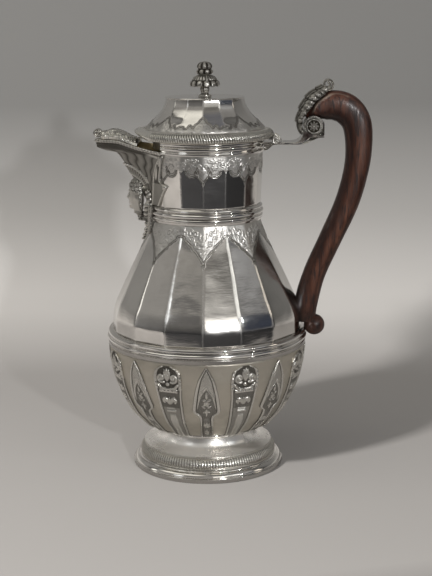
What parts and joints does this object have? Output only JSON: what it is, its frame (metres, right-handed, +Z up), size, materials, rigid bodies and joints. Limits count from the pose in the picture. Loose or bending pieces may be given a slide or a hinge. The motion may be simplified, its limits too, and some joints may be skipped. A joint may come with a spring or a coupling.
{
  "type": "covered pitcher",
  "caption": "Covered silver pitcher with a round strapwork bowl, sixteen-sided pear body, lipped spout over a mask, hinged lid with finial, and a scrolled wooden handle.",
  "frame": {"origin": "on the table, under the middle of the pitcher's overall length and width", "axes": "+Z up, +X towards the handle, -X towards the spout, +Y to the right of someone who pours, -Y the side in the picture"},
  "size_m": [0.183, 0.1346, 0.2706],
  "materials": {
    "polished_silver": "polished silver with light wear",
    "satin_silver": "matted silver ground, softly reflecting",
    "chased_silver": "cast and chased silver, darkened in the hollows",
    "rosewood": "oiled dark wood"
  },
  "bodies": {
    "pitcher": {"foot_rim": "polished_silver", "foot_gadroon_band": "chased_silver", "foot_dome": "polished_silver", "foot_collar": "polished_silver", "bowl": "satin_silver", "strap_lozenge_1": "chased_silver", "strap_lozenge_2": "chased_silver", "strap_lozenge_3": "chased_silver", "strap_lozenge_4": "chased_silver", "strap_lozenge_5": "chased_silver", "strap_lozenge_6": "chased_silver", "strap_lozenge_7": "chased_silver", "strap_lozenge_8": "chased_silver", "strap_scroll_1": "chased_silver", "strap_scroll_2": "chased_silver", "strap_scroll_3": "chased_silver", "strap_scroll_4": "chased_silver", "strap_scroll_5": "chased_silver", "strap_scroll_6": "chased_silver", "strap_scroll_7": "chased_silver", "strap_scroll_8": "chased_silver", "waist_band": "polished_silver", "upper_body": "polished_silver", "neck_band": "polished_silver", "neck": "polished_silver", "rim_moulding": "polished_silver", "spout": "polished_silver", "spout_leaf": "chased_silver", "spout_tip_scroll": "chased_silver", "spout_border_left": "polished_silver", "spout_border_right": "polished_silver", "spout_pendant_left": "polished_silver", "spout_pendant_right": "polished_silver", "mask_face": "chased_silver", "mask_headdress": "chased_silver", "mask_braid_left": "chased_silver", "mask_braid_right": "chased_silver", "mask_drop": "chased_silver", "hinge_body_leaf": "polished_silver", "hinge_pin": "polished_silver", "handle_arm": "polished_silver", "handle_socket": "chased_silver", "volute_rosette_left": "chased_silver", "volute_rosette_right": "chased_silver", "handle_leaf": "chased_silver", "handle_grip": "rosewood", "handle_upper_pin": "polished_silver", "handle_lower_peg": "polished_silver", "handle_lower_pin": "polished_silver"},
    "lid": {"lid_flange": "chased_silver", "lid_bezel": "polished_silver", "lid_dome": "polished_silver", "lid_top_plate": "polished_silver", "finial_stem": "chased_silver", "finial_skirt": "chased_silver", "finial_bud": "chased_silver", "finial_screw": "polished_silver", "finial_nut": "polished_silver", "hinge_lid_leaf": "polished_silver"}
  },
  "joints": [
    {"name": "lid_hinge", "type": "hinge", "parent": "pitcher", "child": "lid", "pos_m": [0.02885, 0, 0.2203], "axis": [0, 1, 0], "range_deg": [0, 70]}
  ]
}
